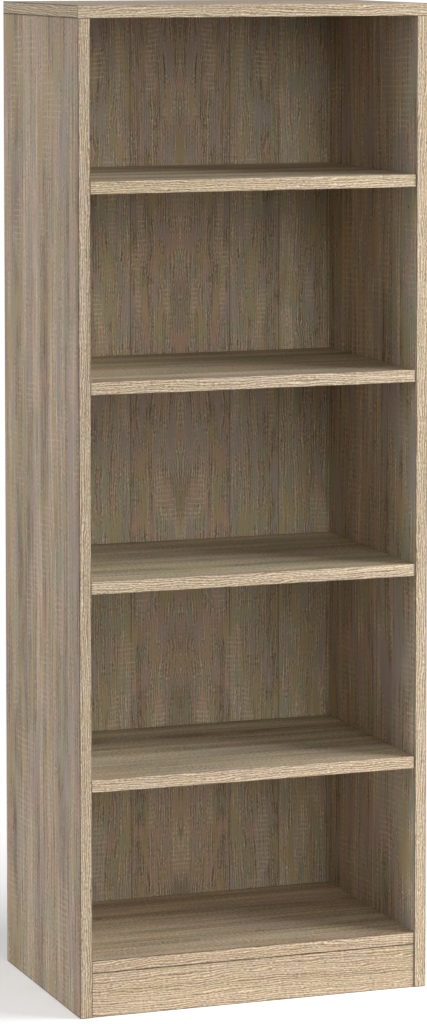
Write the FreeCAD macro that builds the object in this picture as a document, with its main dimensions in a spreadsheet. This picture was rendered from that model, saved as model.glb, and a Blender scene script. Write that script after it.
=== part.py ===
"""Open bookcase with four loose shelves on plug-in pins, as a parametric FreeCAD document.

Millimetres. The origin is on the floor under the middle of the carcass: X is the width,
-Y is the front and Z is up. The boards are melamine-faced chipboard joined with glued
dowels, their front edges carry plastic edge bands, and the thin back panel stands in
grooves in the sides and the top.
"""
import FreeCAD, Part
import os

import Sketcher

SIZES = {
    # carcass
    "overall_width": 600,
    "overall_depth": 400,
    "overall_height": 1625,
    "board": 20,
    "plinth_height": 72,
    "front_recess": 2,
    # plastic edge bands
    "edge_band": 1,
    "edge_round": 0.8,
    # back panel in its grooves
    "back_panel": 4,
    "back_inset": 8,
    "groove_depth": 7,
    "groove_play": 0.1,
    "groove_end_gap": 0.5,
    # loose shelves
    "lowest_shelf_under": 366,
    "shelf_pitch": 320,
    "shelf_end_gap": 1,
    "shelf_rear_gap": 1,
    # holes for a shelf, spare ones under those in use, and the pins in them
    "hole": 5,
    "hole_depth": 9,
    "hole_step": 32,
    "spare_holes": 1,
    "front_row_inset": 37,
    "rear_row_inset": 37,
    "pin_play": 0.1,
    "pin_stem": 8,
    "plate_length": 11,
    "plate_width": 9,
    "plate_thickness": 1.6,
    "plate_corner": 2.5,
    "rib_width": 3,
    "rib_end_gap": 3,
    # dowel joints
    "dowel": 8,
    "dowel_length": 30,
    "dowel_play": 0.1,
    "dowel_face_depth": 11,
    "dowel_end_gap": 1,
    "dowel_inset": 60,
}

SHELVES = (1, 2, 3, 4)  # counted from the top
LEFT, RIGHT = -1, 1

# Places that several pieces share, as expressions on the sheet.
HALF_WIDTH = "size.overall_width / 2"
FRONT = "-size.overall_depth / 2"
REAR = "size.overall_depth / 2"
HALF_INSIDE = "(size.overall_width / 2 - size.board)"
SIDE_HEIGHT = "(size.overall_height - size.board)"
BOARD_FRONT = f"({FRONT} + size.edge_band)"
RECESSED_FRONT = f"({FRONT} + size.front_recess)"
BACK_FACE = f"({REAR} - size.back_inset - size.back_panel)"
PIN = "(size.hole - size.pin_play)"
DOWEL_HOLE = "size.dowel + size.dowel_play"
DOWEL_ROWS = (f"{FRONT} + size.dowel_inset", f"{REAR} - size.dowel_inset")
DOWEL_EDGE_DEPTH = "size.dowel_length - size.dowel_face_depth + size.dowel_end_gap"
BOTTOM_MIDDLE = "size.plinth_height + size.board / 2"
PLINTH_MIDDLE = "size.plinth_height / 2"
PLINTH_CENTRE = f"{RECESSED_FRONT} + size.board / 2"
PIN_ROWS = (f"{FRONT} + size.front_row_inset", f"{BACK_FACE} - size.rear_row_inset")

doc = FreeCAD.newDocument("bookcase")
sheet = doc.addObject("Spreadsheet::Sheet", "size")
for row, (alias, value) in enumerate(SIZES.items(), start=1):
    sheet.set(f"A{row}", alias)
    sheet.set(f"B{row}", str(value))
    sheet.setAlias(f"B{row}", alias)
doc.recompute()

nodes = []


def shelf_under(number):
    """Height of a shelf's underside."""
    steps = len(SHELVES) - number
    return f"size.lowest_shelf_under + {steps} * size.shelf_pitch"


def pin_height(number):
    """Height of the holes that carry a shelf: the pins' top line touches the shelf."""
    return f"{shelf_under(number)} - {PIN} / 2"


def place(item, x="0", y="0", z="0"):
    """Bind an object's position to the sheet."""
    for axis, expression in zip("xyz", (x, y, z)):
        item.setExpression(f"Placement.Base.{axis}", expression)


def new_body(label, x="0", y="0", z="0"):
    body = doc.addObject("PartDesign::Body", label)
    body.Label = label
    place(body, x, y, z)
    return body


def sketch_on(body, role, name, offset="0"):
    """Add a sketch on one of the body's own origin planes, moved along its normal."""
    plane = next(item for item in body.Origin.OriginFeatures if item.Role == role)
    sketch = body.newObject("Sketcher::SketchObject", name)
    sketch.AttachmentSupport = [(plane, "")]
    sketch.MapMode = "FlatFace"
    sketch.setExpression("AttachmentOffset.Base.z", offset)
    return sketch


def bind(sketch, constraint, expression):
    index = sketch.addConstraint(constraint)
    sketch.setExpression(f"Constraints[{index}]", expression)


def bind_point(sketch, line, point, x, y):
    """Tie a point of the sketch to two expressions, measured from the origin."""
    bind(sketch, Sketcher.Constraint("DistanceX", -1, 1, line, point, 1.0), x)
    bind(sketch, Sketcher.Constraint("DistanceY", -1, 1, line, point, 1.0), y)


def draw_outline(sketch, corners):
    """Draw a closed outline whose corners are pairs of expressions."""
    count = len(corners)
    first = sketch.GeometryCount
    start = [FreeCAD.Vector(index, index * index, 0) for index in range(count)]
    for index in range(count):
        sketch.addGeometry(Part.LineSegment(start[index], start[(index + 1) % count]))
    for index in range(count):
        following = first + (index + 1) % count
        sketch.addConstraint(Sketcher.Constraint("Coincident", first + index, 2, following, 1))
    for index, (x, y) in enumerate(corners):
        bind_point(sketch, first + index, 1, x, y)


def draw_rectangle(sketch, left, right, low, high):
    draw_outline(sketch, [(left, low), (right, low), (right, high), (left, high)])


def draw_circle(sketch, x, y, diameter):
    circle = sketch.addGeometry(Part.Circle(FreeCAD.Vector(1, 1, 0), FreeCAD.Vector(0, 0, 1), 2))
    bind_point(sketch, circle, 3, x, y)
    bind(sketch, Sketcher.Constraint("Diameter", circle, 4.0), diameter)


def pad(body, sketch, length, reverse=False, midplane=False):
    feature = body.newObject("PartDesign::Pad", f"{sketch.Name}_pad")
    feature.Profile = sketch
    feature.Reversed = reverse
    feature.Midplane = midplane
    feature.setExpression("Length", length)
    return feature


def cut(body, sketch, depth, reverse=False):
    """Pocket a sketch and make sure that it takes material away."""
    doc.recompute()
    before = body.Shape.Volume
    feature = body.newObject("PartDesign::Pocket", f"{sketch.Name}_cut")
    feature.Profile = sketch
    feature.Reversed = reverse
    feature.setExpression("Length", depth)
    doc.recompute()
    if body.Shape.Volume > before - 1e-3:
        raise RuntimeError(f"{body.Label}: {feature.Name} cuts nothing")
    return feature


def finish(item):
    """Keep an object as one of the bookcase's nodes."""
    nodes.append(item)
    return item


def side_panel(label, side):
    """Upright board. Its inner face is the body's YZ plane and the board lies outside it."""
    outward_is_x = side == RIGHT
    body = new_body(label, x=f"{side} * {HALF_INSIDE}")
    outline = sketch_on(body, "YZ_Plane", f"{label}_outline")
    draw_rectangle(outline, BOARD_FRONT, REAR, "0", SIDE_HEIGHT)
    pad(body, outline, "size.board", reverse=not outward_is_x)

    groove = sketch_on(body, "YZ_Plane", f"{label}_groove")
    groove_front = f"{BACK_FACE} - size.groove_play"
    groove_rear = f"{REAR} - size.back_inset + size.groove_play"
    draw_rectangle(groove, groove_front, groove_rear, "0", SIDE_HEIGHT)
    cut(body, groove, "size.groove_depth", reverse=outward_is_x)

    for number in SHELVES:
        holes = sketch_on(body, "YZ_Plane", f"{label}_holes_{number}")
        lowest = f"{pin_height(number)} - size.spare_holes * size.hole_step"
        for row in PIN_ROWS:
            draw_circle(holes, row, lowest, "size.hole")
        drilled = cut(body, holes, "size.hole_depth", reverse=outward_is_x)
        rows = body.newObject("PartDesign::LinearPattern", f"{label}_rows_{number}")
        rows.Originals = [drilled]
        rows.Direction = (holes, ["V_Axis"])
        rows.setExpression("Length", "size.spare_holes * size.hole_step")
        rows.setExpression("Occurrences", "size.spare_holes + 1")
        body.Tip = rows

    face_dowels = sketch_on(body, "YZ_Plane", f"{label}_face_dowels")
    for row in DOWEL_ROWS:
        draw_circle(face_dowels, row, BOTTOM_MIDDLE, DOWEL_HOLE)
    draw_circle(face_dowels, PLINTH_CENTRE, PLINTH_MIDDLE, DOWEL_HOLE)
    cut(body, face_dowels, "size.dowel_face_depth", reverse=outward_is_x)

    end_dowels = sketch_on(body, "XY_Plane", f"{label}_end_dowels", SIDE_HEIGHT)
    for row in DOWEL_ROWS:
        draw_circle(end_dowels, f"{side} * size.board / 2", row, DOWEL_HOLE)
    cut(body, end_dowels, DOWEL_EDGE_DEPTH)
    return finish(body)


def top_panel():
    """Cover board that lies on both sides, banded at the front and at both ends."""
    body = new_body("top_panel", z=SIDE_HEIGHT)
    outline = sketch_on(body, "XY_Plane", "top_outline")
    half = f"({HALF_WIDTH} - size.edge_band)"
    draw_rectangle(outline, f"-{half}", half, BOARD_FRONT, REAR)
    pad(body, outline, "size.board")

    groove = sketch_on(body, "XY_Plane", "top_groove")
    groove_front = f"{BACK_FACE} - size.groove_play"
    groove_rear = f"{REAR} - size.back_inset + size.groove_play"
    draw_rectangle(groove, f"-{half}", half, groove_front, groove_rear)
    cut(body, groove, "size.groove_depth", reverse=True)

    dowels = sketch_on(body, "XY_Plane", "top_dowel_holes")
    for side in (LEFT, RIGHT):
        for row in DOWEL_ROWS:
            draw_circle(dowels, f"{side} * ({HALF_WIDTH} - size.board / 2)", row, DOWEL_HOLE)
    cut(body, dowels, "size.dowel_face_depth", reverse=True)
    return finish(body)


def end_dowel_holes(body, label, centres):
    """Bore dowel holes into both ends of a board that stands between the sides."""
    for side, name in ((LEFT, "left"), (RIGHT, "right")):
        end = sketch_on(body, "YZ_Plane", f"{label}_{name}_end", f"{side} * {HALF_INSIDE}")
        for y, z in centres:
            draw_circle(end, y, z, DOWEL_HOLE)
        cut(body, end, DOWEL_EDGE_DEPTH, reverse=side == LEFT)


def bottom_panel():
    """Fixed lowest board, doweled between the sides above the plinth."""
    body = new_body("bottom_panel", z="size.plinth_height")
    outline = sketch_on(body, "XY_Plane", "bottom_outline")
    board_front = f"{RECESSED_FRONT} + size.edge_band"
    draw_rectangle(outline, f"-{HALF_INSIDE}", HALF_INSIDE, board_front, BACK_FACE)
    pad(body, outline, "size.board")
    end_dowel_holes(body, "bottom", [(row, "size.board / 2") for row in DOWEL_ROWS])
    return finish(body)


def plinth():
    """Toe board on the floor under the front of the bottom panel."""
    body = new_body("plinth", y=RECESSED_FRONT)
    outline = sketch_on(body, "XZ_Plane", "plinth_outline")
    draw_rectangle(outline, f"-{HALF_INSIDE}", HALF_INSIDE, "0", "size.plinth_height")
    pad(body, outline, "size.board", reverse=True)
    end_dowel_holes(body, "plinth", [("size.board / 2", PLINTH_MIDDLE)])
    return finish(body)


def back_panel():
    """Thin panel in the grooves of the sides and the top, behind the bottom panel's edge."""
    body = new_body("back_panel", y=BACK_FACE)
    outline = sketch_on(body, "XZ_Plane", "back_outline")
    reach = "(size.groove_depth - size.groove_end_gap)"
    half = f"({HALF_INSIDE} + {reach})"
    draw_rectangle(outline, f"-{half}", half, "size.plinth_height", f"{SIDE_HEIGHT} + {reach}")
    pad(body, outline, "size.back_panel", reverse=True)
    return finish(body)


def shelf(number):
    """Loose board on four pins, a little shorter than the space between the sides."""
    label = f"shelf_{number}"
    body = new_body(label, z=shelf_under(number))
    outline = sketch_on(body, "XY_Plane", f"{label}_outline")
    half = f"({HALF_INSIDE} - size.shelf_end_gap)"
    board_front = f"{RECESSED_FRONT} + size.edge_band"
    board_rear = f"{BACK_FACE} - size.shelf_rear_gap"
    draw_rectangle(outline, f"-{half}", half, board_front, board_rear)
    pad(body, outline, "size.board")
    return finish(body)


def round_long_edges(body, padded, along):
    """Round the two long outer edges of a band, the ones far from the board behind it."""
    doc.recompute()
    shape = padded.Shape
    outer = shape.BoundBox
    chosen = []
    for index, edge in enumerate(shape.Edges, start=1):
        box = edge.BoundBox
        if along == "x" and box.XLength > outer.XLength / 2 and box.YMax < outer.YMin + 0.01:
            chosen.append(f"Edge{index}")
        if along == "z" and box.ZLength > outer.ZLength / 2 and box.YMax < outer.YMin + 0.01:
            chosen.append(f"Edge{index}")
    fillet = body.newObject("PartDesign::Fillet", f"{padded.Name}_round")
    fillet.Base = (padded, chosen)
    fillet.setExpression("Radius", "size.edge_round")
    return fillet


def front_band(label, left, right, low, high, front, along):
    """Band on a front edge, from one end of the edge to the other."""
    body = new_body(label, y=front)
    outline = sketch_on(body, "XZ_Plane", f"{label}_outline")
    draw_rectangle(outline, left, right, low, high)
    padded = pad(body, outline, "size.edge_band", reverse=True)
    round_long_edges(body, padded, along)
    return finish(body)


def shelf_pin():
    """Spoon pin: a round stem for the hole and a plate level with the stem's top line.

    The body's origin is where the hole's axis leaves the panel, with +X into the bookcase.
    """
    body = new_body("pin_master")
    stem = sketch_on(body, "YZ_Plane", "pin_stem_outline")
    draw_circle(stem, "0", "0", PIN)
    pad(body, stem, "size.pin_stem", reverse=True)

    plate = sketch_on(body, "XY_Plane", "pin_plate_outline", f"{PIN} / 2")
    half = "size.plate_width / 2"
    inner_half = "(size.plate_width / 2 - size.plate_corner)"
    corner_start = "size.plate_length - size.plate_corner"
    draw_outline(plate, [
        ("0", f"-{half}"),
        (corner_start, f"-{half}"),
        ("size.plate_length", f"-{inner_half}"),
        ("size.plate_length", inner_half),
        (corner_start, half),
        ("0", half),
    ])
    pad(body, plate, "size.plate_thickness", reverse=True)

    rib = sketch_on(body, "XZ_Plane", "pin_rib_outline")
    under_plate = f"{PIN} / 2 - size.plate_thickness"
    draw_outline(rib, [
        ("0", f"-{PIN} / 2"),
        ("size.plate_length - size.rib_end_gap", under_plate),
        ("0", under_plate),
    ])
    pad(body, rib, "size.rib_width", midplane=True)
    return body


def dowel():
    """Round beech dowel along its own Z axis, starting at its origin."""
    master = doc.addObject("Part::Cylinder", "dowel_master")
    master.setExpression("Radius", "size.dowel / 2")
    master.setExpression("Height", "size.dowel_length")
    return master


def group(label, master, places):
    """One node of equal pieces, each a linked copy of the master at its own place."""
    copies = []
    for index, (x, y, z, turn) in enumerate(places, start=1):
        copy = doc.addObject("App::Link", f"{label}_{index}")
        copy.LinkedObject = master
        copy.Placement = FreeCAD.Placement(FreeCAD.Vector(), turn)
        place(copy, x, y, z)
        copies.append(copy)
    compound = doc.addObject("Part::Compound", label)
    compound.Label = label
    compound.Links = copies
    return finish(compound)


side_panel("left_side_panel", LEFT)
side_panel("right_side_panel", RIGHT)
top_panel()
bottom_panel()
plinth()
back_panel()
for number in SHELVES:
    shelf(number)

# Front bands. Those of the sides run up to the top panel, whose own band spans the whole width.
front_band("left_front_band", f"-{HALF_WIDTH}", f"-{HALF_INSIDE}", "0", SIDE_HEIGHT, FRONT, "z")
front_band("right_front_band", HALF_INSIDE, HALF_WIDTH, "0", SIDE_HEIGHT, FRONT, "z")
front_band(
    "top_front_band", f"-{HALF_WIDTH}", HALF_WIDTH, SIDE_HEIGHT, "size.overall_height", FRONT, "x"
)
front_band(
    "bottom_front_band",
    f"-{HALF_INSIDE}",
    HALF_INSIDE,
    "size.plinth_height",
    "size.plinth_height + size.board",
    RECESSED_FRONT,
    "x",
)
for number in SHELVES:
    half = f"({HALF_INSIDE} - size.shelf_end_gap)"
    under = shelf_under(number)
    over = f"{under} + size.board"
    front_band(f"shelf_{number}_front_band", f"-{half}", half, under, over, RECESSED_FRONT, "x")

# End bands of the top panel, behind its front band.
for side, name in ((LEFT, "left"), (RIGHT, "right")):
    label = f"top_{name}_band"
    body = new_body(label, x=f"{side} * ({HALF_WIDTH} - size.edge_band)", z=SIDE_HEIGHT)
    outline = sketch_on(body, "YZ_Plane", f"{label}_outline")
    draw_rectangle(outline, BOARD_FRONT, REAR, "0", "size.board")
    pad(body, outline, "size.edge_band", reverse=side == LEFT)
    finish(body)

pin_master = shelf_pin()
facing_right = FreeCAD.Rotation()
facing_left = FreeCAD.Rotation(FreeCAD.Vector(0, 0, 1), 180)
for number in SHELVES:
    height = pin_height(number)
    group(f"shelf_{number}_pins", pin_master, [
        (f"{side} * {HALF_INSIDE}", row, height, facing_right if side == LEFT else facing_left)
        for side in (LEFT, RIGHT)
        for row in PIN_ROWS
    ])

dowel_master = dowel()
upright = FreeCAD.Rotation()
to_right = FreeCAD.Rotation(FreeCAD.Vector(0, 1, 0), 90)
to_left = FreeCAD.Rotation(FreeCAD.Vector(0, 1, 0), -90)
EDGE_REACH = "(size.dowel_length - size.dowel_face_depth)"
group("top_dowels", dowel_master, [
    (f"{side} * ({HALF_WIDTH} - size.board / 2)", row, f"{SIDE_HEIGHT} - {EDGE_REACH}", upright)
    for side in (LEFT, RIGHT)
    for row in DOWEL_ROWS
])
BETWEEN_START = f"({HALF_INSIDE} - {EDGE_REACH})"
group("bottom_dowels", dowel_master, [
    (f"{side} * {BETWEEN_START}", row, BOTTOM_MIDDLE, to_left if side == LEFT else to_right)
    for side in (LEFT, RIGHT)
    for row in DOWEL_ROWS
])
group("plinth_dowels", dowel_master, [
    (f"{side} * {BETWEEN_START}", PLINTH_CENTRE, PLINTH_MIDDLE,
     to_left if side == LEFT else to_right)
    for side in (LEFT, RIGHT)
])

doc.recompute()
for item in doc.Objects:
    if "Invalid" in item.State or "Error" in item.State:
        raise RuntimeError(f"{item.Label}: {item.State}")
for node in nodes:
    if node.Shape.isNull() or not node.Shape.isValid():
        raise RuntimeError(f"{node.Label} has no valid shape")

os.makedirs("parts", exist_ok=True)
for node in nodes:
    node.Shape.exportStep(f"parts/{node.Label}.step")
    box = node.Shape.BoundBox
    print(f"{node.Label}: {len(node.Shape.Solids)} solid(s), volume {node.Shape.Volume:.1f}, "
          f"z {box.ZMin:.1f} to {box.ZMax:.1f}")
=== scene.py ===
"""Bookcase with adjustable shelves: the finishes, the nails of the back, the camera and the studio."""

import math

import bpy
from mathutils import Matrix, Vector


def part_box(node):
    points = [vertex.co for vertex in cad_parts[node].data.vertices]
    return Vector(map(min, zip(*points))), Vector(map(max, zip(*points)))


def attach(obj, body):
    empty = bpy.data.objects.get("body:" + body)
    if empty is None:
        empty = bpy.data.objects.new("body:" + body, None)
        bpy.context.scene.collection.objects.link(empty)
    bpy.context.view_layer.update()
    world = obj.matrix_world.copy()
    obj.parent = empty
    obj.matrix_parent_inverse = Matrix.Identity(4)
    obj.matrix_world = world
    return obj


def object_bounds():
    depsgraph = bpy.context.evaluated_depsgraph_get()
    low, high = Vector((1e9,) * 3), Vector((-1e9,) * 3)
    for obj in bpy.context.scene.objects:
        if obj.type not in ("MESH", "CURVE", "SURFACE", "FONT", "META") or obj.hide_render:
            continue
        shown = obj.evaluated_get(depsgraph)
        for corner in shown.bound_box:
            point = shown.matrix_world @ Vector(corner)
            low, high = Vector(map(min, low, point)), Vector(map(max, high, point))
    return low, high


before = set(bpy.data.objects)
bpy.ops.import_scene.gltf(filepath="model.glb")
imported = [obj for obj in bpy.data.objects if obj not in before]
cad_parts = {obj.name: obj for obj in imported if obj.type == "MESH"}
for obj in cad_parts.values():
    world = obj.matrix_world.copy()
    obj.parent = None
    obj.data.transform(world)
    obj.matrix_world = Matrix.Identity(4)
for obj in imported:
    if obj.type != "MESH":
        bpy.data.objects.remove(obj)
cad_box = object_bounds()

MM = 0.001
SHELVES = 4

# Grain directions of the boards, in the bookcase's own axes
ACROSS = (1.0, 0.0, 0.0)
INWARDS = (0.0, 1.0, 0.0)
UPRIGHT = (0.0, 0.0, 1.0)

FLOAT = "NodeSocketFloat"
VECTOR = "NodeSocketVector"
COLOR = "NodeSocketColor"


def srgb(red, green, blue):
    """A colour written as 0 to 255, as Blender's linear colour."""
    def linear(value):
        value /= 255
        return value / 12.92 if value <= 0.04045 else ((value + 0.055) / 1.055) ** 2.4
    return linear(red), linear(green), linear(blue), 1.0


class Sheet:
    """Adds nodes to one tree and joins them as they are made."""

    def __init__(self, tree):
        self.tree = tree
        self.made = 0

    def add(self, kind, **settings):
        node = self.tree.nodes.new(kind)
        node.location = (180 * (self.made // 6), -220 * (self.made % 6))
        self.made += 1
        for name, value in settings.items():
            setattr(node, name, value)
        return node

    def feed(self, socket, value):
        """Joins an output to the socket, or writes a plain value on it."""
        if isinstance(value, bpy.types.NodeSocket):
            self.tree.links.new(value, socket)
        elif value is not None:
            socket.default_value = value

    def math(self, operation, *values, clamp=False):
        node = self.add("ShaderNodeMath", operation=operation, use_clamp=clamp)
        for socket, value in zip(node.inputs, values):
            self.feed(socket, value)
        return node.outputs[0]

    def dot(self, first, second):
        node = self.add("ShaderNodeVectorMath", operation="DOT_PRODUCT")
        self.feed(node.inputs[0], first)
        self.feed(node.inputs[1], second)
        return node.outputs["Value"]

    def point(self, x=0.0, y=0.0, z=0.0):
        node = self.add("ShaderNodeCombineXYZ")
        for socket, value in zip(node.inputs, (x, y, z)):
            self.feed(socket, value)
        return node.outputs[0]

    def parts(self, vector):
        node = self.add("ShaderNodeSeparateXYZ")
        self.feed(node.inputs[0], vector)
        return node.outputs

    def noise(self, vector, detail=1.0, roughness=0.5):
        """Smooth noise from 0 to 1 with features about 1 long in the vector's own scale."""
        node = self.add("ShaderNodeTexNoise", noise_dimensions="3D")
        self.feed(node.inputs["Vector"], vector)
        node.inputs["Scale"].default_value = 1.0
        node.inputs["Detail"].default_value = detail
        node.inputs["Roughness"].default_value = roughness
        return node.outputs[0]

    def ramp(self, value, low, high):
        """0 at low to 1 at high, with soft ends; low may be above high."""
        node = self.add("ShaderNodeMapRange", interpolation_type="SMOOTHSTEP")
        self.feed(node.inputs["Value"], value)
        self.feed(node.inputs["From Min"], low)
        self.feed(node.inputs["From Max"], high)
        return node.outputs["Result"]

    def swing(self, value, reach):
        """Noise turned from 0..1 to -reach..reach."""
        return self.math("MULTIPLY_ADD", value, 2.0 * reach, -reach)

    def mix(self, factor, first, second):
        """The first colour at factor 0, the second at 1."""
        node = self.add("ShaderNodeMix", data_type="RGBA")
        self.feed(node.inputs["Factor"], factor)
        self.feed(node.inputs[6], first)
        self.feed(node.inputs[7], second)
        return node.outputs[2]

    def place(self, group, **values):
        """Puts a shared effect into this tree with its own values."""
        node = self.add("ShaderNodeGroup")
        node.node_tree = group
        for name, value in values.items():
            self.feed(node.inputs[name], value)
        return node.outputs


def new_group(name, inputs, outputs):
    """A new node group with these sockets: the group, its sheet, what it is given and its result."""
    tree = bpy.data.node_groups.new(name, "ShaderNodeTree")
    for socket_name, kind, value in inputs:
        socket = tree.interface.new_socket(name=socket_name, in_out="INPUT", socket_type=kind)
        if value is not None:
            socket.default_value = value
    for socket_name, kind in outputs:
        tree.interface.new_socket(name=socket_name, in_out="OUTPUT", socket_type=kind)
    sheet = Sheet(tree)
    given = sheet.add("NodeGroupInput").outputs
    result = sheet.add("NodeGroupOutput").inputs
    return tree, sheet, given, result


# ---------------------------------------------------------------- shared effects

PAPER_DEPTH = 0.15 * MM

# How the print's lines wander, in mm; a shift reads the noise in another place
SLOW_DRIFT = dict(width=190.0, length=420.0, reach=14.0, shift=0.0)
QUICK_DRIFT = dict(width=46.0, length=150.0, reach=3.0, shift=31.0)
SHIVER = dict(width=13.0, length=9.0, reach=1.0, shift=53.0)

# The share of that wandering which the broad bands follow
DRIFT_OF_BANDS = 0.4

# The joint of a matched print, in mm
JOINT_REACH = 30.0
JOINT_LEAN = 5.0
JOINT_LEAN_LENGTH = 52.0

# The arches of a plank sawn flat, in mm (the rounding in square mm, the middle in plank widths)
ARCH_MIDDLE_FROM = 0.3
ARCH_MIDDLE_SPREAD = 0.4
ARCH_LENGTH = 520.0
ARCH_SPREAD = 700.0
ARCH_SLOPE = 0.06
ARCH_SKEW = 0.25
ARCH_ROUNDING = 12.0


def build_print_lines():
    """Where a point lies in the oak print, in mm: along the grain and across its wandering lines."""
    tree, sheet, given, result = new_group(
        "oak_print_lines",
        [("Place", VECTOR, None), ("Grain", VECTOR, UPRIGHT), ("Width", VECTOR, ACROSS),
         ("Start", VECTOR, None), ("Plank", FLOAT, 84.0), ("Match", FLOAT, 0.0),
         ("Figure", FLOAT, 0.0), ("Shiver", FLOAT, 0.5)],
        [("Along", FLOAT), ("Across", FLOAT), ("Line", FLOAT), ("Step", FLOAT), ("Chance", COLOR)])
    start_across, start_along, cut = sheet.parts(given["Start"])
    along = sheet.math("MULTIPLY_ADD", sheet.dot(given["Place"], given["Grain"]), 1 / MM, start_along)
    plain = sheet.math("MULTIPLY_ADD", sheet.dot(given["Place"], given["Width"]), 1 / MM, start_across)
    folded = sheet.math("SUBTRACT", sheet.math("ABSOLUTE", plain), plain)
    across = sheet.math("MULTIPLY_ADD", given["Match"], folded, plain)

    def wander(width, length, reach, shift):
        """Sideways drift of the lines, in mm, that changes over this width and length."""
        drift = sheet.noise(sheet.point(sheet.math("DIVIDE", across, width),
                                        sheet.math("DIVIDE", along, length),
                                        sheet.math("ADD", cut, shift)))
        return sheet.swing(drift, reach)

    # Where two halves of a matched print meet, the lines lean towards the joint and away again
    lean = sheet.noise(sheet.point(0.0, sheet.math("DIVIDE", along, JOINT_LEAN_LENGTH),
                                   sheet.math("ADD", cut, 71.0)))
    near_joint = sheet.math("MULTIPLY", sheet.ramp(across, JOINT_REACH, 0.0), given["Match"])
    feather = sheet.math("MULTIPLY", sheet.swing(lean, JOINT_LEAN), near_joint)
    drift = sheet.math("ADD", wander(**SLOW_DRIFT), wander(**QUICK_DRIFT))
    drift = sheet.math("ADD", drift, feather)
    shiver = sheet.math("MULTIPLY", wander(**SHIVER), given["Shiver"])
    straight = sheet.math("ADD", across, sheet.math("ADD", drift, shiver))

    # Planks of the print, and in some of them the arches of a board sawn flat
    position = sheet.math("DIVIDE", across, given["Plank"])
    step = sheet.math("FRACT", position)
    chance = sheet.add("ShaderNodeTexWhiteNoise", noise_dimensions="3D")
    sheet.feed(chance.inputs["Vector"], sheet.point(sheet.math("FLOOR", position), cut, 0.0))
    offset, rise, kind = sheet.parts(chance.outputs["Color"])
    middle = sheet.math("MULTIPLY_ADD", offset, -ARCH_MIDDLE_SPREAD, -ARCH_MIDDLE_FROM)
    sideways = sheet.math("MULTIPLY", sheet.math("ADD", step, middle), given["Plank"])
    sideways = sheet.math("ADD", sideways, drift)
    bent = sheet.math("SQRT", sheet.math("MULTIPLY_ADD", sideways, sideways, ARCH_ROUNDING))
    climb = sheet.math("PINGPONG", sheet.math("MULTIPLY_ADD", rise, ARCH_SPREAD, along), ARCH_LENGTH)
    arch = sheet.math("MULTIPLY_ADD", sideways, ARCH_SKEW, bent)
    arch = sheet.math("MULTIPLY_ADD", climb, ARCH_SLOPE, arch)
    arch = sheet.math("ADD", arch, shiver)
    figured = sheet.math("LESS_THAN", kind, given["Figure"])
    line = sheet.math("MULTIPLY_ADD", figured, sheet.math("SUBTRACT", arch, straight), straight)

    sheet.feed(result["Along"], along)
    sheet.feed(result["Across"], sheet.math("ADD", across, sheet.math("MULTIPLY", drift, DRIFT_OF_BANDS)))
    sheet.feed(result["Line"], line)
    sheet.feed(result["Step"], step)
    sheet.feed(result["Chance"], chance.outputs["Color"])
    return tree


# The saw marks: lengths in mm, thickness as a share of the step between two of them
MARK_SWAY = 4.0
MARK_SWAY_LENGTH = 90.0
MARK_TILT = 0.05
MARK_THINNEST = 0.16
MARK_EXTRA = 0.12
MARK_FAINTEST = 0.4
TOOTH_WIDTH, TOOTH_LENGTH = 4.0, 7.0

# The loose columns they stand in: the width as a share of the stains' size, the length in mm
COLUMN_WIDTH, COLUMN_LENGTH = 0.7, 150.0
COLUMN_FROM, COLUMN_TO = 0.74, 0.84
COLUMN_HAZE = 0.2


def build_saw_marks():
    """Thin pale lines that a coarse saw left across the grain, in loose columns."""
    tree, sheet, given, result = new_group(
        "saw_marks",
        [("Along", FLOAT, 0.0), ("Across", FLOAT, 0.0), ("Cut", FLOAT, 0.0), ("Cover", FLOAT, 0.5),
         ("Reach", FLOAT, 50.0), ("Pitch", FLOAT, 11.0)],
        [("Mark", FLOAT)])
    along, across, cut, pitch = given["Along"], given["Across"], given["Cut"], given["Pitch"]
    sway = sheet.noise(sheet.point(sheet.math("DIVIDE", across, given["Reach"]),
                                   sheet.math("DIVIDE", along, MARK_SWAY_LENGTH), cut))
    swayed = sheet.math("ADD", along, sheet.swing(sway, MARK_SWAY))
    tilted = sheet.math("MULTIPLY_ADD", across, MARK_TILT, swayed)
    position = sheet.math("DIVIDE", tilted, pitch)
    aside = sheet.math("ABSOLUTE", sheet.math("SUBTRACT", sheet.math("FRACT", position), 0.5))
    aside = sheet.math("MULTIPLY", aside, pitch)
    chance = sheet.add("ShaderNodeTexWhiteNoise", noise_dimensions="2D")
    sheet.feed(chance.inputs["Vector"], sheet.point(sheet.math("FLOOR", position), cut, 0.0))
    strength, thickness, _ = sheet.parts(chance.outputs["Color"])
    thickness = sheet.math("MULTIPLY_ADD", thickness, MARK_EXTRA, MARK_THINNEST)
    thickness = sheet.math("MULTIPLY", pitch, thickness)
    line = sheet.math("MULTIPLY", sheet.ramp(aside, thickness, 0.0),
                      sheet.math("MULTIPLY_ADD", strength, 1.0 - MARK_FAINTEST, MARK_FAINTEST))
    tooth = sheet.noise(sheet.point(sheet.math("DIVIDE", across, TOOTH_WIDTH),
                                    sheet.math("DIVIDE", along, TOOTH_LENGTH), cut), detail=0.0)
    column_width = sheet.math("MULTIPLY", given["Reach"], COLUMN_WIDTH)
    column = sheet.noise(sheet.point(sheet.math("DIVIDE", across, column_width),
                                     sheet.math("DIVIDE", along, COLUMN_LENGTH),
                                     sheet.math("ADD", cut, 5.5)))
    here = sheet.ramp(column, sheet.math("SUBTRACT", COLUMN_FROM, given["Cover"]),
                      sheet.math("SUBTRACT", COLUMN_TO, given["Cover"]))
    mark = sheet.math("MULTIPLY_ADD", line, sheet.ramp(tooth, low=0.2, high=0.6), COLUMN_HAZE)
    sheet.feed(result["Mark"], sheet.math("MULTIPLY", mark, here))
    return tree


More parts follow.
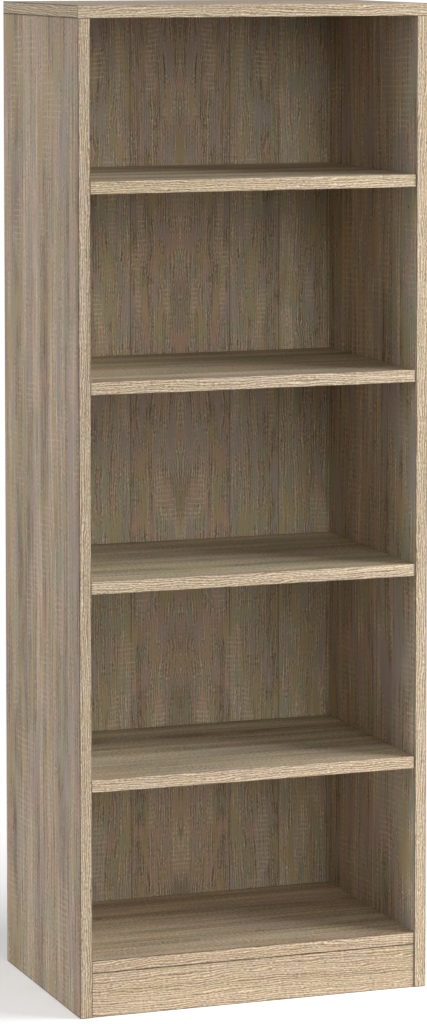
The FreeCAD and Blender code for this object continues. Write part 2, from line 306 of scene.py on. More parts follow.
# The grain of the print: the step of its ribs in mm, their faintest share, and the slope of its fibres
RIB_STEP = 4.2
RIB_FAINTEST = 0.3
FIBRE_LEAN = 0.12

# A plank of the print differs in tone from its neighbours and darkens towards one side
PLANK_TONES = 0.2
PLANK_SLOPE = 0.24

# The least of the pale tone, its share that varies, and how much deeper the dark tones are drawn
PALE_LEAST = 0.15
PALE_SHARE = 0.7
DARK_TONE_DEPTH = 0.35

# Where a line is dark enough to be a pore
PORE_FROM, PORE_TO = -0.2, -0.6

# Roughness of the print, and what its streaks and its pores add to it
PRINT_ROUGHNESS = 0.56
STREAK_ROUGHNESS = 0.10
PORE_ROUGHNESS = 0.14

# Seams between planks and dark stretches on a matched print's joint: sizes in mm, depth as a share
SEAM_REACH = 1.6
JOINT_CLEAR_FROM, JOINT_CLEAR_TO = 3.0, 6.0
HEART_LENGTH = 170.0
HEART_RAGGED = 22.0
HEART_FROM, HEART_TO = 4.0, 40.0
HEART_DEPTH = 0.32


def build_sawn_oak(print_lines, saw_marks):
    """The oak print itself: tones of the planks, streaks, fibres, pores and saw marks."""
    tree, sheet, given, result = new_group(
        "sawn_oak_print",
        [("Place", VECTOR, None), ("Grain", VECTOR, UPRIGHT), ("Width", VECTOR, ACROSS),
         ("Start", VECTOR, None), ("Plank", FLOAT, 84.0), ("Match", FLOAT, 0.0),
         ("Figure", FLOAT, 0.0), ("Shiver", FLOAT, 0.5),
         ("Pale", COLOR, None), ("Deep", COLOR, None), ("Red", COLOR, None), ("Green", COLOR, None),
         ("Straw", COLOR, None), ("Lilac", COLOR, None), ("Pore", COLOR, None), ("Mark", COLOR, None),
         ("Sweeps", FLOAT, 0.6), ("Bands", FLOAT, 0.6), ("Streaks", FLOAT, 0.6), ("Threads", FLOAT, 0.5),
         ("Ribs", FLOAT, 0.5), ("Fibres", FLOAT, 0.6), ("Fine", FLOAT, 1.0), ("Seams", FLOAT, 0.0),
         ("Pores", FLOAT, 0.4), ("Tints", FLOAT, 0.5), ("Clouds", FLOAT, 0.3), ("Marks", FLOAT, 0.5),
         ("Cover", FLOAT, 0.3), ("Reach", FLOAT, 45.0), ("Pitch", FLOAT, 11.0)],
        [("Color", COLOR), ("Roughness", FLOAT), ("Height", FLOAT)])
    lines = sheet.place(print_lines, Place=given["Place"], Grain=given["Grain"], Width=given["Width"],
                        Start=given["Start"], Plank=given["Plank"], Match=given["Match"],
                        Figure=given["Figure"], Shiver=given["Shiver"])
    along, across, line = lines["Along"], lines["Across"], lines["Line"]
    cut = sheet.parts(given["Start"])[2]
    tone_chance, tint_chance, kind_chance = sheet.parts(lines["Chance"])

    def field(width, length, shift, detail=1.0, of=line):
        """Noise stretched along the grain: features of this width and length in mm."""
        return sheet.noise(sheet.point(sheet.math("DIVIDE", of, width),
                                       sheet.math("DIVIDE", along, length),
                                       sheet.math("ADD", cut, shift)), detail=detail)

    # Light and dark: planks that darken towards one side, wide bands, streaks and single fibres
    slope = sheet.math("MULTIPLY_ADD", lines["Step"], -PLANK_SLOPE, PLANK_SLOPE / 2)
    plank = sheet.math("MULTIPLY_ADD", sheet.math("SUBTRACT", tone_chance, 0.5), PLANK_TONES, slope)
    sweep = sheet.swing(field(width=46.0, length=900.0, shift=13.1, of=across), reach=0.9)
    wide = sheet.swing(field(width=19.0, length=600.0, shift=11.7, of=across), reach=0.7)
    streak = sheet.swing(field(width=7.0, length=350.0, shift=3.3), reach=0.7)

    def fine_field(width, length, shift, **others):
        """A field whose width follows the print's fineness."""
        return field(sheet.math("MULTIPLY", given["Fine"], width), length, shift, **others)

    thread = sheet.swing(fine_field(width=1.7, length=400.0, shift=37.7, detail=0.0), reach=1.0)
    waver = sheet.swing(fine_field(width=13.0, length=55.0, shift=47.3), reach=1.3)
    rib = sheet.math("MULTIPLY_ADD", line, sheet.math("DIVIDE", 1 / RIB_STEP, given["Fine"]), waver)
    rib = sheet.math("MULTIPLY_ADD", sheet.math("PINGPONG", rib, 0.5), 2.0, -0.5)
    dash = fine_field(width=2.2, length=13.0, shift=41.3, detail=0.0)
    dash = sheet.ramp(dash, low=0.3, high=0.65)
    rib = sheet.math("MULTIPLY", rib, sheet.math("MULTIPLY_ADD", dash, 1.0 - RIB_FAINTEST, RIB_FAINTEST))
    leaning = sheet.math("MULTIPLY_ADD", along, FIBRE_LEAN, line)
    fibre = fine_field(width=1.2, length=5.0, shift=7.1, detail=0.0, of=leaning)
    fibre = sheet.swing(fibre, reach=1.0)
    tone = sheet.math("MULTIPLY_ADD", sweep, given["Sweeps"], plank)
    tone = sheet.math("MULTIPLY_ADD", wide, given["Bands"], tone)
    tone = sheet.math("MULTIPLY_ADD", streak, given["Streaks"], tone)
    tone = sheet.math("MULTIPLY_ADD", sheet.ramp(tone, low=-0.8, high=0.8), PALE_SHARE, PALE_LEAST)
    fine = sheet.math("MULTIPLY_ADD", rib, given["Ribs"], sheet.math("MULTIPLY", thread, given["Threads"]))
    fine = sheet.math("MULTIPLY_ADD", fibre, given["Fibres"], fine)
    tone = sheet.math("ADD", tone, fine, clamp=True)
    tone = sheet.math("MULTIPLY", tone, sheet.math("MULTIPLY_ADD", tone, DARK_TONE_DEPTH,
                                                   1.0 - DARK_TONE_DEPTH))
    colour = sheet.mix(tone, given["Deep"], given["Pale"])

    def lean(width, length, shift, chance):
        """Stripes that lean to one stain, and the same turned round for the other."""
        stripe = field(sheet.math("MULTIPLY", given["Reach"], width),
                       sheet.math("MULTIPLY", given["Reach"], length), shift, detail=2.0)
        stripe = sheet.swing(stripe, reach=1.5)
        stripe = sheet.math("MULTIPLY_ADD", sheet.math("SUBTRACT", chance, 0.5), 0.5, stripe)
        stripe = sheet.math("MULTIPLY", stripe, given["Tints"])
        return stripe, sheet.math("MULTIPLY", stripe, -1.0)

    # Stripes that lean to red or to grey-green, and others that lean to straw or to lilac
    red, green = lean(width=0.3, length=1.2, shift=17.9, chance=tint_chance)
    straw, lilac = lean(width=0.4, length=1.8, shift=29.3, chance=kind_chance)
    for amount, stain in ((red, "Red"), (green, "Green"), (straw, "Straw"), (lilac, "Lilac")):
        colour = sheet.mix(sheet.math("MAXIMUM", amount, 0.0), colour, given[stain])

    # Weathered dark patches, then the pores
    cloud = field(width=30.0, length=170.0, shift=61.0, detail=2.0, of=across)
    cloud = sheet.ramp(cloud, low=0.42, high=0.24)
    colour = sheet.mix(sheet.math("MULTIPLY", cloud, given["Clouds"]), colour, given["Pore"])
    dark = sheet.ramp(fine, PORE_FROM, PORE_TO)
    colour = sheet.mix(sheet.math("MULTIPLY", dark, given["Pores"]), colour, given["Pore"])

    # Thin dark seams between the planks, and a darker stretch here and there on a matched print's joint
    seam = sheet.math("PINGPONG", lines["Step"], 0.5)
    seam = sheet.ramp(sheet.math("MULTIPLY", seam, given["Plank"]), SEAM_REACH, 0.0)
    at_joint = sheet.ramp(across, JOINT_CLEAR_TO, JOINT_CLEAR_FROM)
    off_joint = sheet.math("MULTIPLY_ADD", at_joint, sheet.math("MULTIPLY", given["Match"], -1.0), 1.0)
    seam = sheet.math("MULTIPLY", seam, sheet.math("MULTIPLY", off_joint, given["Seams"]))
    heart = sheet.noise(sheet.point(0.0, sheet.math("DIVIDE", along, HEART_LENGTH), cut))
    heart = sheet.ramp(heart, low=0.42, high=0.62)
    ragged = field(width=14.0, length=40.0, shift=83.0, detail=2.0, of=across)
    ragged = sheet.math("ADD", across, sheet.swing(ragged, HEART_RAGGED))
    heart = sheet.math("MULTIPLY", heart, sheet.ramp(ragged, HEART_TO, HEART_FROM))
    heart = sheet.math("MULTIPLY", heart, sheet.math("MULTIPLY", given["Match"], HEART_DEPTH))
    colour = sheet.mix(sheet.math("MAXIMUM", seam, heart), colour, given["Pore"])

    mark = sheet.place(saw_marks, Along=along, Across=across, Cut=cut, Cover=given["Cover"],
                       Reach=given["Reach"], Pitch=given["Pitch"])["Mark"]
    mark = sheet.math("MULTIPLY", mark, given["Marks"])
    colour = sheet.mix(mark, colour, given["Mark"])

    sheet.feed(result["Color"], colour)
    rough = sheet.math("MULTIPLY_ADD", streak, STREAK_ROUGHNESS, PRINT_ROUGHNESS)
    sheet.feed(result["Roughness"], sheet.math("MULTIPLY_ADD", dark, PORE_ROUGHNESS, rough))

    # Pores are the lowest, saw marks and fibres stand half as high
    relief = sheet.math("MULTIPLY_ADD", dark, -1.0, sheet.math("MULTIPLY", mark, 0.5))
    sheet.feed(result["Height"], sheet.math("MULTIPLY_ADD", fibre, 0.5, relief))
    return tree


CHIP_PALE = srgb(205, 176, 136)
CHIP_DEEP = srgb(158, 125, 87)
CHIP_GAP = srgb(92, 68, 45)
FLAKE_LENGTH = 3.2 * MM
FLAKE_THICKNESS = 0.9 * MM
FLAKE_GAP_FROM, FLAKE_GAP_TO = 0.42, 0.72
CHIP_ROUGHNESS = 0.85
CHIP_GAP_ROUGHNESS = 0.1


def build_chipboard():
    """Bare chipboard where it was sawn or drilled: pressed flakes, with gaps between some of them."""
    tree, sheet, given, result = new_group(
        "chipboard_core", [("Place", VECTOR, None), ("Through", VECTOR, UPRIGHT)],
        [("Color", COLOR), ("Roughness", FLOAT)])
    level = sheet.math("MULTIPLY", sheet.dot(given["Place"], given["Through"]),
                       1 / FLAKE_THICKNESS - 1 / FLAKE_LENGTH)
    squeezed = sheet.add("ShaderNodeVectorMath", operation="MULTIPLY_ADD")
    sheet.feed(squeezed.inputs[0], given["Place"])
    squeezed.inputs[1].default_value = (1 / FLAKE_LENGTH,) * 3
    upward = sheet.add("ShaderNodeVectorMath", operation="SCALE")
    sheet.feed(upward.inputs[0], given["Through"])
    sheet.feed(upward.inputs["Scale"], level)
    sheet.feed(squeezed.inputs[2], upward.outputs[0])
    flakes = sheet.add("ShaderNodeTexVoronoi")
    sheet.feed(flakes.inputs["Vector"], squeezed.outputs[0])
    flakes.inputs["Scale"].default_value = 1.0
    chance, second_chance, _ = sheet.parts(flakes.outputs["Color"])
    fuzz = sheet.noise(squeezed.outputs[0], detail=3.0)
    tone = sheet.math("ADD", sheet.swing(fuzz, reach=0.6), chance, clamp=True)
    colour = sheet.mix(tone, CHIP_DEEP, CHIP_PALE)
    gap = sheet.math("MULTIPLY", sheet.ramp(flakes.outputs["Distance"], FLAKE_GAP_FROM, FLAKE_GAP_TO),
                     sheet.ramp(second_chance, low=0.25, high=0.75))
    sheet.feed(result["Color"], sheet.mix(gap, colour, CHIP_GAP))
    sheet.feed(result["Roughness"], sheet.math("MULTIPLY_ADD", gap, CHIP_GAP_ROUGHNESS, CHIP_ROUGHNESS))
    return tree


def build_edge_painted_shade():
    """1 on the edges of a box and 0 past the reach, in mm: where a fine line of painted shade stands in
    for the shadow along every joint and edge.
    """
    tree, sheet, given, result = new_group(
        "edge_painted_shade", [("Place", VECTOR, None), ("Low", VECTOR, None), ("High", VECTOR, None),
                       ("Reach", FLOAT, 0.6)],
        [("Shade", FLOAT)])

    def gap_to(corner):
        gap = sheet.add("ShaderNodeVectorMath", operation="SUBTRACT")
        sheet.feed(gap.inputs[0], given["Place"])
        sheet.feed(gap.inputs[1], given[corner])
        size = sheet.add("ShaderNodeVectorMath", operation="ABSOLUTE")
        sheet.feed(size.inputs[0], gap.outputs[0])
        return size.outputs[0]

    nearer = sheet.add("ShaderNodeVectorMath", operation="MINIMUM")
    sheet.feed(nearer.inputs[0], gap_to("Low"))
    sheet.feed(nearer.inputs[1], gap_to("High"))
    # A point on a face has one gap of zero, so the middle one of the three is its way to the edge
    x, y, z = sheet.parts(nearer.outputs[0])
    larger = sheet.math("MINIMUM", sheet.math("MAXIMUM", x, y), z)
    middle = sheet.math("MAXIMUM", sheet.math("MINIMUM", x, y), larger)
    reach = sheet.math("MULTIPLY", given["Reach"], MM)
    sheet.feed(result["Shade"], sheet.ramp(middle, reach, 0.0))
    return tree


print_lines = build_print_lines()
saw_marks = build_saw_marks()
sawn_oak = build_sawn_oak(print_lines, saw_marks)
chipboard = build_chipboard()
edge_painted_shade = build_edge_painted_shade()


# ---------------------------------------------------------------- materials

BOARD_TONES = dict(Pale=(238, 220, 190), Deep=(114, 93, 69), Red=(201, 164, 143), Green=(172, 172, 143),
                   Straw=(190, 170, 128), Lilac=(183, 167, 156), Pore=(122, 102, 79), Mark=(226, 204, 176))
BAND_TONES = dict(Pale=(254, 235, 205), Deep=(142, 117, 86), Red=(222, 186, 162), Green=(194, 192, 158),
                  Straw=(212, 190, 144), Lilac=(205, 186, 172), Pore=(126, 98, 74), Mark=(246, 228, 200))
# Painted shade: the dark brown of the fine shadow line along joints and edges
JOINT_PAINTED_SHADE = srgb(64, 44, 30)
HARDBOARD_PALE = srgb(158, 124, 88)
HARDBOARD_DEEP = srgb(122, 91, 62)
NICKEL_PALE = srgb(205, 202, 195)
NICKEL_DEEP = srgb(168, 165, 160)
BEECH_PALE = srgb(222, 190, 152)
BEECH_DEEP = srgb(190, 152, 112)
BEECH_FLECK = srgb(150, 108, 74)
FLECK_STRENGTH = 0.8

# How strong each effect of the print is. Fine widens the fine lines, Cover is how much of the piece
# has saw marks, Plank is the width of a plank, Reach the size of the stains and Pitch the step
# between saw marks, all three in mm.
BOARD = dict(Sweeps=1.2, Bands=0.2, Streaks=1.0, Threads=0.15, Ribs=0.4, Fibres=0.8, Pores=0.0,
             Tints=0.7, Clouds=0.3, Marks=0.4, Cover=0.25, Reach=80.0, Pitch=9.5, Shiver=0.2)
BAND = dict(Sweeps=0.1, Bands=0.1, Streaks=0.15, Threads=0.3, Ribs=1.0, Fibres=0.55, Fine=0.85, Pores=0.3,
            Tints=0.4, Clouds=0.0, Marks=0.4, Cover=0.12, Reach=24.0, Pitch=6.0, Shiver=0.2)
BACK = dict(Plank=89.5, Match=1.0, Seams=0.75, Figure=0.3, Sweeps=0.35, Bands=0.2, Streaks=0.1,
            Threads=0.4, Ribs=0.9, Fibres=0.6, Tints=1.35, Marks=0.85, Cover=0.16, Reach=45.0, Pitch=8.0)

# The painted shade along a piece's edges, a fine dark line that stands in for the shadow in its joints:
# its strength, and its width in mm
CLEAN_EDGE_SHADING = (0.15, 0.5)
FINE_JOINT_SHADING = (0.5, 0.6)
DARK_JOINT_SHADING = (0.95, 1.6)
SIDE_BAND_JOINT_SHADING = (0.8, 2.0)
SIDE_JOINT_SHADING = (0.85, 2.2)
TOP_BAND_JOINT_SHADING = (0.95, 2.2)

# Painted light and shade: how much lighter or darker than the tones of its print a piece is drawn, in red,
# green and blue, for the light that falls on it
PLAIN = (1.0, 1.0, 1.0)
BACK_PAINTED_LIGHT = (1.12, 1.16, 1.2)

# Depths of relief, in mm, and the low shine of the print
BOARD_RELIEF = 0.08
BAND_RELIEF = 0.06
BACK_RELIEF = 0.06
DOWEL_RELIEF = 0.05
METAL_RELIEF = 0.01
RELIEF_STRENGTH = 0.5
SHEEN = 0.2

HARDBOARD_ROUGHNESS = 0.8
PRINTED_BACK_ROUGHNESS = 0.52
NICKEL_ROUGHNESS = 0.18
BEECH_ROUGHNESS = 0.55


def new_material(name):
    """A material with a Principled shader: the material, its sheet and the shader node."""
    material = bpy.data.materials.new(name)
    material.use_nodes = True
    material.node_tree.nodes.clear()
    sheet = Sheet(material.node_tree)
    output = sheet.add("ShaderNodeOutputMaterial")
    shader = sheet.add("ShaderNodeBsdfPrincipled")
    sheet.feed(output.inputs["Surface"], shader.outputs[0])
    return material, sheet, shader


def object_place(sheet):
    """The point's place in the piece's own axes."""
    return sheet.add("ShaderNodeTexCoord").outputs["Object"]


def add_relief(sheet, shader, height, depth):
    """Bump of this depth in mm."""
    bump = sheet.add("ShaderNodeBump")
    bump.inputs["Strength"].default_value = RELIEF_STRENGTH
    bump.inputs["Distance"].default_value = depth * MM
    sheet.feed(bump.inputs["Height"], height)
    sheet.feed(shader.inputs["Normal"], bump.outputs[0])


def stretched(sheet, place, x, y, z):
    """A place for a pattern whose features are this many mm long along each axis."""
    mapping = sheet.add("ShaderNodeMapping")
    sheet.feed(mapping.inputs["Vector"], place)
    mapping.inputs["Scale"].default_value = [1 / (length * MM) for length in (x, y, z)]
    return mapping.outputs[0]


def dress(node_name, material):
    """Gives a CAD node its finish."""
    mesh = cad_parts[node_name].data
    mesh.materials.clear()
    mesh.materials.append(material)


def toned(tones, light):
    """The print's tones as colours, each channel made lighter or darker by its own factor: painted light
    and shade.
    """
    return {name: (*(channel * factor for channel, factor in zip(srgb(*tone), light)), 1.0)
            for name, tone in tones.items()}


def print_with_painted_edge_shade(sheet, node_name, place, tones, light, joint, finish):
    """The oak print on a piece, with painted shade in a fine dark line along its edges."""
    low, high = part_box(node_name)
    strength, reach = joint
    oak = sheet.place(sawn_oak, Place=place, **toned(tones, light), **finish)
    shade = sheet.place(edge_painted_shade, Place=place, Low=low, High=high, Reach=reach)["Shade"]
    # Painted shade: the print darkened along the piece's edges, standing in for the shadow in its joints
    colour = sheet.mix(sheet.math("MULTIPLY", shade, strength), oak["Color"], JOINT_PAINTED_SHADE)
    return oak, colour


def cut_from_print(cut, across=0.0, along=0.0):
    """Where a piece starts in the print, in mm; each cut has a figure of its own."""
    return across, along, cut


def finish_board(node_name, grain, width, start, light=PLAIN, joint=FINE_JOINT_SHADING, **changes):
    """Oak paper on both faces of a chipboard, which shows at its edges and in its holes."""
    material, sheet, shader = new_material(f"oak_{node_name}")
    place = object_place(sheet)
    oak, colour = print_with_painted_edge_shade(sheet, node_name, place, BOARD_TONES, light, joint,
                                    {**BOARD, **changes, "Grain": grain, "Width": width, "Start": start})
    through = Vector(grain).cross(Vector(width))
    through = tuple(abs(part) for part in through)
    low, high = (corner.dot(Vector(through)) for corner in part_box(node_name))
    level = sheet.dot(place, through)
    paper = sheet.math("MAXIMUM", sheet.math("COMPARE", level, low, PAPER_DEPTH),
                       sheet.math("COMPARE", level, high, PAPER_DEPTH))
    core = sheet.place(chipboard, Place=place, Through=through)
    sheet.feed(shader.inputs["Base Color"], sheet.mix(paper, core["Color"], colour))
    rough = sheet.math("MULTIPLY_ADD", paper, sheet.math("SUBTRACT", oak["Roughness"], core["Roughness"]),
                       core["Roughness"])
    sheet.feed(shader.inputs["Roughness"], rough)
    add_relief(sheet, shader, oak["Height"], BOARD_RELIEF)
    shader.inputs["Specular IOR Level"].default_value = SHEEN
    dress(node_name, material)


def finish_band(node_name, grain, width, start, light=PLAIN, joint=FINE_JOINT_SHADING, **changes):
    """The oak print all over a piece: the plastic edge bands, and the plinth that matches them."""
    material, sheet, shader = new_material(f"oak_{node_name}")
    oak, colour = print_with_painted_edge_shade(sheet, node_name, object_place(sheet), BAND_TONES, light, joint,
                                    {**BAND, **changes, "Grain": grain, "Width": width, "Start": start})
    sheet.feed(shader.inputs["Base Color"], colour)
    sheet.feed(shader.inputs["Roughness"], oak["Roughness"])
    add_relief(sheet, shader, oak["Height"], BAND_RELIEF)
    shader.inputs["Specular IOR Level"].default_value = SHEEN
    dress(node_name, material)


def finish_back():
    """Thin hardboard, printed on the side that faces the shelves and bare behind."""
    material, sheet, shader = new_material("oak_back_panel")
    place = object_place(sheet)
    # Painted light: the back's print drawn lighter and a little bluer than its tones, for the light the
    # shelves keep from it
    oak = sheet.place(sawn_oak, Place=place, Grain=UPRIGHT, Width=ACROSS,
                      Start=cut_from_print(3.0, across=-8.0, along=700.0),
                      **toned(BOARD_TONES, BACK_PAINTED_LIGHT), **{**BOARD, **BACK})
    felt = sheet.noise(stretched(sheet, place, 7.0, 7.0, 1.1), detail=4.0, roughness=0.7)
    bare = sheet.mix(sheet.ramp(felt, low=0.35, high=0.65), HARDBOARD_DEEP, HARDBOARD_PALE)
    printed_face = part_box("back_panel")[0].y
    paper = sheet.math("COMPARE", sheet.parts(place)[1], printed_face, PAPER_DEPTH)
    sheet.feed(shader.inputs["Base Color"], sheet.mix(paper, bare, oak["Color"]))
    rough = sheet.math("MULTIPLY_ADD", paper, PRINTED_BACK_ROUGHNESS - HARDBOARD_ROUGHNESS,
                       HARDBOARD_ROUGHNESS)
    sheet.feed(shader.inputs["Roughness"], rough)
    add_relief(sheet, shader, sheet.math("MULTIPLY_ADD", paper, oak["Height"], felt), BACK_RELIEF)
    shader.inputs["Specular IOR Level"].default_value = SHEEN
    dress("back_panel", material)


def nickel(name, wear):
    """Nickel-plated steel with fine scuffs."""
    material, sheet, shader = new_material(name)
    scuff = sheet.noise(stretched(sheet, object_place(sheet), 0.4, 2.5, 0.4), detail=3.0, roughness=0.6)
    sheet.feed(shader.inputs["Base Color"], sheet.mix(scuff, NICKEL_DEEP, NICKEL_PALE))
    sheet.feed(shader.inputs["Roughness"], sheet.math("MULTIPLY_ADD", scuff, wear, NICKEL_ROUGHNESS))
    add_relief(sheet, shader, scuff, METAL_RELIEF)
    shader.inputs["Metallic"].default_value = 1.0
    return material


def beech():
    """Raw beech of the dowels: fine lines with short brown flecks, along the dowel."""
    material, sheet, shader = new_material("dowel_beech")
    place = stretched(sheet, object_place(sheet), 9.0, 0.8, 0.8)
    line = sheet.noise(place, detail=2.0)
    fleck = sheet.noise(place, detail=0.0)
    colour = sheet.mix(sheet.ramp(line, low=0.3, high=0.7), BEECH_DEEP, BEECH_PALE)
    fleck = sheet.math("MULTIPLY", sheet.ramp(fleck, low=0.66, high=0.76), FLECK_STRENGTH)
    colour = sheet.mix(fleck, colour, BEECH_FLECK)
    sheet.feed(shader.inputs["Base Color"], colour)
    sheet.feed(shader.inputs["Roughness"], sheet.math("MULTIPLY_ADD", line, 0.2, BEECH_ROUGHNESS))
    add_relief(sheet, shader, line, DOWEL_RELIEF)
    return material


# The light factors in these calls are painted light and shade. Each piece's print is drawn lighter or
# darker to stand in for how light falls on it: the top with its end bands and the left side darker, the
# right side, the shelves' front bands and the bottom band lighter.
finish_board("left_side_panel", UPRIGHT, INWARDS, cut_from_print(1.0), light=(0.94, 0.9, 0.93),
             joint=SIDE_JOINT_SHADING, Sweeps=1.4, Streaks=0.5, Threads=0.6, Ribs=0.6, Fibres=0.45, Fine=2.0,
             Tints=1.05, Marks=0.6, Cover=0.22)
finish_board("right_side_panel", UPRIGHT, INWARDS, cut_from_print(2.0, across=300.0),
             light=(1.13, 1.17, 1.27), Tints=1.5, Sweeps=0.4, Streaks=0.8, Threads=0.7, Ribs=0.6,
             Fibres=0.6, Fine=2.0, Marks=0.6)
finish_board("top_panel", ACROSS, INWARDS, cut_from_print(4.0), light=(0.86, 0.83, 0.82))
finish_board("bottom_panel", ACROSS, INWARDS, cut_from_print(5.0))
finish_band("plinth", ACROSS, UPRIGHT, cut_from_print(6.0), light=(1.01, 0.98, 0.98),
            joint=DARK_JOINT_SHADING, Plank=72.0)
finish_back()
for number in range(1, SHELVES + 1):
    finish_board(f"shelf_{number}", ACROSS, INWARDS, cut_from_print(7.0 + number, across=200.0 * number),
                 light=(0.96, 1.01, 1.03))
    finish_band(f"shelf_{number}_front_band", ACROSS, UPRIGHT, cut_from_print(12.0 + number),
                light=(1.06, 1.06, 1.07), joint=CLEAN_EDGE_SHADING)
finish_band("top_front_band", ACROSS, UPRIGHT, cut_from_print(21.0))
finish_band("bottom_front_band", ACROSS, UPRIGHT, cut_from_print(26.0), light=(1.05, 1.02, 1.03),
            joint=DARK_JOINT_SHADING)
for label, cut, light in (("left", 17.0, (0.98, 0.98, 1.0)), ("right", 18.0, PLAIN)):
    finish_band(f"{label}_front_band", UPRIGHT, ACROSS, cut_from_print(cut), light=light,
                joint=SIDE_BAND_JOINT_SHADING, Cover=0.2)
    finish_band(f"top_{label}_band", INWARDS, UPRIGHT, cut_from_print(cut + 2.0),
                light=(0.89, 0.89, 0.88), joint=TOP_BAND_JOINT_SHADING)

pin_nickel = nickel("pin_nickel", wear=0.25)
for number in range(1, SHELVES + 1):
    dress(f"shelf_{number}_pins", pin_nickel)
dowel_beech = beech()
for label in ("top", "bottom", "plinth"):
    dress(f"{label}_dowels", dowel_beech)


# ---------------------------------------------------------------- nails of the back

NAILS = 5
NAIL_STEP = 120 * MM
NAIL_LENGTH = 22 * MM
NAIL_RADIUS = 0.7 * MM
NAIL_SIDES = 20
NAIL_TIP_LENGTH = 2.1 * MM
NAIL_TIP_SHARE = 0.15
HEAD_RADIUS = 2.2 * MM
HEAD_THICKNESS = 0.7 * MM
HEAD_EDGE = 0.25 * MM
SMOOTH_ANGLE = 35


def select_faces(piece, wanted):
    """Selects these faces and no others, and stays in edit mode."""
    bpy.ops.mesh.select_all(action="DESELECT")
    bpy.ops.object.mode_set(mode="OBJECT")
    for face in piece.data.polygons:
        face.select = wanted(face)
    bpy.ops.object.mode_set(mode="EDIT")


def build_nail(name, x, y, z):
    """A flat-headed wire nail that points forwards, with the underside of its head at y."""
    bpy.ops.object.select_all(action="DESELECT")
    bpy.ops.mesh.primitive_cylinder_add(vertices=NAIL_SIDES, radius=HEAD_RADIUS, depth=HEAD_THICKNESS,
                                        location=(x, y + HEAD_THICKNESS / 2, z),
                                        rotation=(math.radians(90), 0, 0))
    nail = bpy.context.object
    nail.name = nail.data.name = name
    bpy.ops.object.transform_apply(location=True, rotation=True, scale=True)
    bpy.ops.object.mode_set(mode="EDIT")
    bpy.ops.mesh.select_mode(type="FACE")
    select_faces(nail, lambda face: face.normal.y > 0.9)
    bpy.ops.mesh.bevel(offset=HEAD_EDGE, segments=2)
    select_faces(nail, lambda face: face.normal.y < -0.9)
    bpy.ops.mesh.inset(thickness=HEAD_RADIUS - NAIL_RADIUS)
    bpy.ops.mesh.extrude_region_move(TRANSFORM_OT_translate={"value": (0, -NAIL_LENGTH, 0)})
    bpy.ops.mesh.extrude_region_move(TRANSFORM_OT_translate={"value": (0, -NAIL_TIP_LENGTH, 0)})
    bpy.ops.transform.resize(value=(NAIL_TIP_SHARE, 1, NAIL_TIP_SHARE))
    bpy.ops.object.mode_set(mode="OBJECT")
    bpy.ops.object.shade_smooth_by_angle(angle=math.radians(SMOOTH_ANGLE))
    return nail


def build_back_nails():
    """One row of nails through the back panel into the middle of the lowest board."""
    panel_low, panel_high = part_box("back_panel")
    board_low, board_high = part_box("bottom_panel")
    middle = (panel_low.x + panel_high.x) / 2
    height = (board_low.z + board_high.z) / 2
    steel = nickel("nail_steel", wear=0.35)
    first = build_nail("back_nail_1", middle - NAIL_STEP * (NAILS - 1) / 2, panel_high.y, height)
    first.data.materials.append(steel)
    nails = [first]
    for number in range(2, NAILS + 1):
        nail = first.copy()
        nail.data = first.data.copy()
        nail.name = nail.data.name = f"back_nail_{number}"
        nail.data.transform(Matrix.Translation((NAIL_STEP * (number - 1), 0, 0)))
        bpy.context.scene.collection.objects.link(nail)
        nails.append(nail)
    for nail in nails:
        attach(nail, "carcass")


build_back_nails()


# ---------------------------------------------------------------- studio

FLOOR_RADIUS = 1.8
FLOOR_CENTRE = -0.3
FLOOR_GAP = 0.2 * MM
FLOOR_WHITE = (0.9, 0.9, 0.9, 1)
FLOOR_LIFT = 0.32
CLEAR_FROM, CLEAR_TO = 0.9, 1.5
SKY_STRENGTH = 0.145


def seen_directly(sheet):
    """1 for what the camera sees, straight or in gloss or glass, and 0 for lighting."""
    rays = sheet.add("ShaderNodeLightPath").outputs
    gloss = sheet.math("MAXIMUM", rays["Is Glossy Ray"], rays["Is Transmission Ray"])
    return sheet.math("MAXIMUM", rays["Is Camera Ray"], gloss)


def build_floor():
    """A round white floor that keeps the bookcase's shadow and fades into the white around it."""
    bpy.ops.mesh.primitive_circle_add(vertices=96, radius=FLOOR_RADIUS, fill_type="NGON",
                                      location=(0, FLOOR_CENTRE, cad_box[0].z - FLOOR_GAP))
    floor = bpy.context.object
    floor.name = "studio_floor"
    material = bpy.data.materials.new("studio_white")
    material.use_nodes = True
    material.node_tree.nodes.clear()
    sheet = Sheet(material.node_tree)
    output = sheet.add("ShaderNodeOutputMaterial")
    surface = sheet.add("ShaderNodeBsdfDiffuse")
    surface.inputs["Color"].default_value = FLOOR_WHITE
    seen = seen_directly(sheet)
    lift = sheet.add("ShaderNodeEmission")
    sheet.feed(lift.inputs["Strength"], sheet.math("MULTIPLY", seen, FLOOR_LIFT))
    lit = sheet.add("ShaderNodeAddShader")
    sheet.feed(lit.inputs[0], surface.outputs[0])
    sheet.feed(lit.inputs[1], lift.outputs[0])
    clear = sheet.add("ShaderNodeEmission")
    away = sheet.add("ShaderNodeVectorMath", operation="LENGTH")
    sheet.feed(away.inputs[0], object_place(sheet))
    fade = sheet.math("MULTIPLY", sheet.ramp(away.outputs["Value"], CLEAR_FROM, CLEAR_TO), seen)
    both = sheet.add("ShaderNodeMixShader")
    sheet.feed(both.inputs[0], fade)
    sheet.feed(both.inputs[1], lit.outputs[0])
    sheet.feed(both.inputs[2], clear.outputs[0])
    sheet.feed(output.inputs["Surface"], both.outputs[0])
    floor.data.materials.append(material)


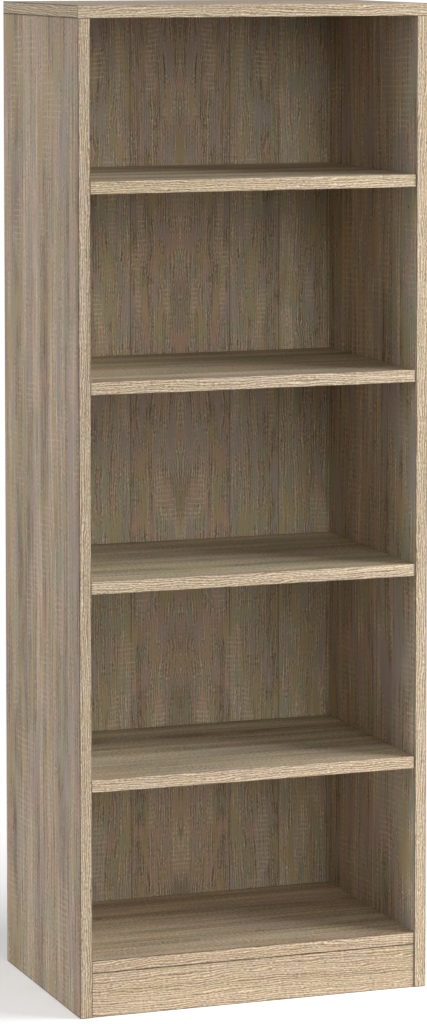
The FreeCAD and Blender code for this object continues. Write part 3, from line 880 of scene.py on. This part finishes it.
def build_sky():
    """Soft light from above the floor's level, and plain white where it is seen."""
    world = bpy.data.worlds.new("studio_sky")
    bpy.context.scene.world = world
    world.use_nodes = True
    world.node_tree.nodes.clear()
    sheet = Sheet(world.node_tree)
    output = sheet.add("ShaderNodeOutputWorld")
    sky = sheet.add("ShaderNodeBackground")
    height = sheet.parts(sheet.add("ShaderNodeTexCoord").outputs["Generated"])[2]
    light = sheet.math("MULTIPLY", sheet.math("GREATER_THAN", height, 0.0), SKY_STRENGTH)
    sky.inputs["Color"].default_value = (1, 1, 1, 1)
    sheet.feed(sky.inputs["Strength"], sheet.math("MAXIMUM", light, seen_directly(sheet)))
    sheet.feed(output.inputs["Surface"], sky.outputs[0])


def soft_box(name, turn, rise, distance, aim, size, power):
    """A square area lamp that looks at a point at the height aim; turn and rise are in degrees."""
    lamp = bpy.data.lights.new(name, "AREA")
    lamp.size = size
    lamp.energy = power
    turn, rise = math.radians(turn), math.radians(rise)
    away = Vector((math.sin(turn) * math.cos(rise), -math.cos(turn) * math.cos(rise), math.sin(rise)))
    box = bpy.data.objects.new(name, lamp)
    box.location = Vector((0, 0, aim)) + away * distance
    box.rotation_euler = away.to_track_quat("Z", "Y").to_euler()
    bpy.context.scene.collection.objects.link(box)


build_floor()
build_sky()
soft_box("right_box", turn=60, rise=28, distance=4.0, aim=0.7, size=2.0, power=136)
soft_box("front_box", turn=0, rise=22, distance=5.0, aim=0.8, size=2.5, power=48)
soft_box("left_box", turn=-90, rise=18, distance=5.0, aim=0.8, size=2.5, power=98)
soft_box("low_box", turn=20, rise=10, distance=2.5, aim=0.2, size=1.0, power=3.8)


# ---------------------------------------------------------------- camera

CAMERA_PLACE = (-2.3127, -6.3724, 1.7475)
CAMERA_YAW, CAMERA_DIP = 20.232, 4.284
LENS = 144.54
SHIFT = (-0.02, -0.27)


def build_camera():
    """The viewing angle: from the front left, a little above the top, with upright lines nearly so."""
    lens = bpy.data.cameras.new("camera")
    lens.lens = LENS
    lens.shift_x, lens.shift_y = SHIFT
    camera = bpy.data.objects.new("camera", lens)
    camera.location = CAMERA_PLACE
    camera.rotation_euler = (math.radians(90 - CAMERA_DIP), 0, math.radians(-CAMERA_YAW))
    bpy.context.scene.collection.objects.link(camera)
    bpy.context.scene.camera = camera


build_camera()
bpy.context.scene.view_settings.view_transform = "Standard"
